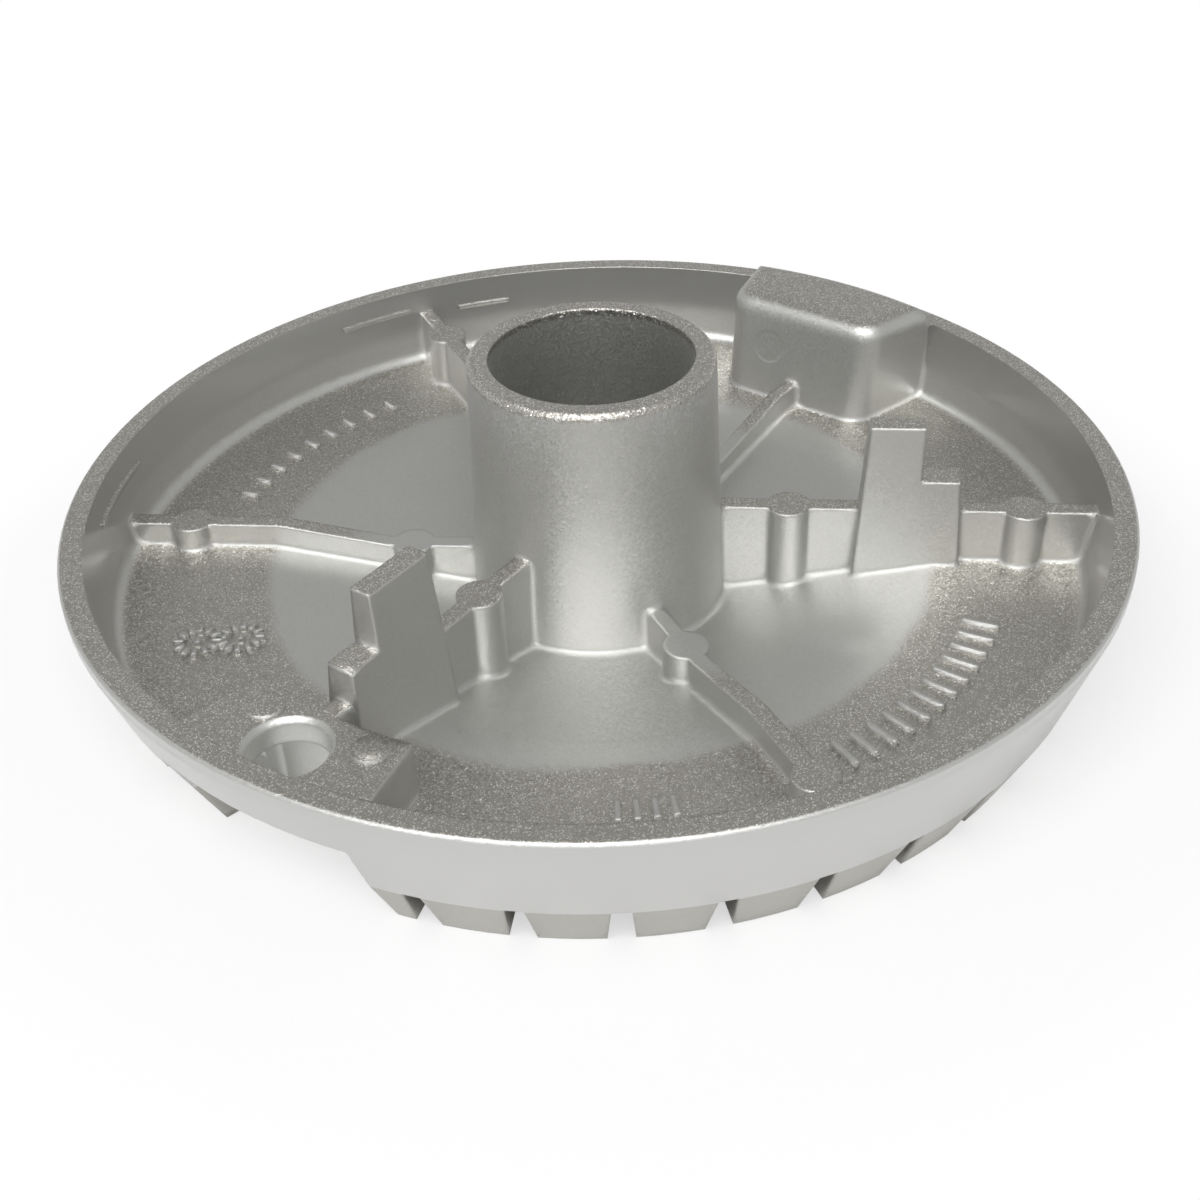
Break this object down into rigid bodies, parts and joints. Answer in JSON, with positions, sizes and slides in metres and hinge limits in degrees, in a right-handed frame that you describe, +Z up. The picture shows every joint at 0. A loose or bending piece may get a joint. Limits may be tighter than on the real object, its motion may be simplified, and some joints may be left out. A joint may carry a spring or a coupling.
{
  "type": "gas burner head",
  "caption": "Round cast burner head with a central venturi tube, a ribbed dish under a flat cap rim, centring fins, an electrode hole and drafted flame slots round its skirt.",
  "frame": {"origin": "on the axis of the venturi tube, at the level of the crown's seat, which is the lowest plane of the head", "axes": "+Z up along the venturi tube's axis, out of its mouth; -Y towards the side that carries the electrode hole's gap, seen in the picture's front"},
  "size_m": [0.1, 0.1, 0.0283],
  "materials": {
    "cast_aluminium": "sand-textured raw casting with a turned skirt band"
  },
  "bodies": {
    "root": {"burner_head": "cast_aluminium"}
  },
  "joints": []
}
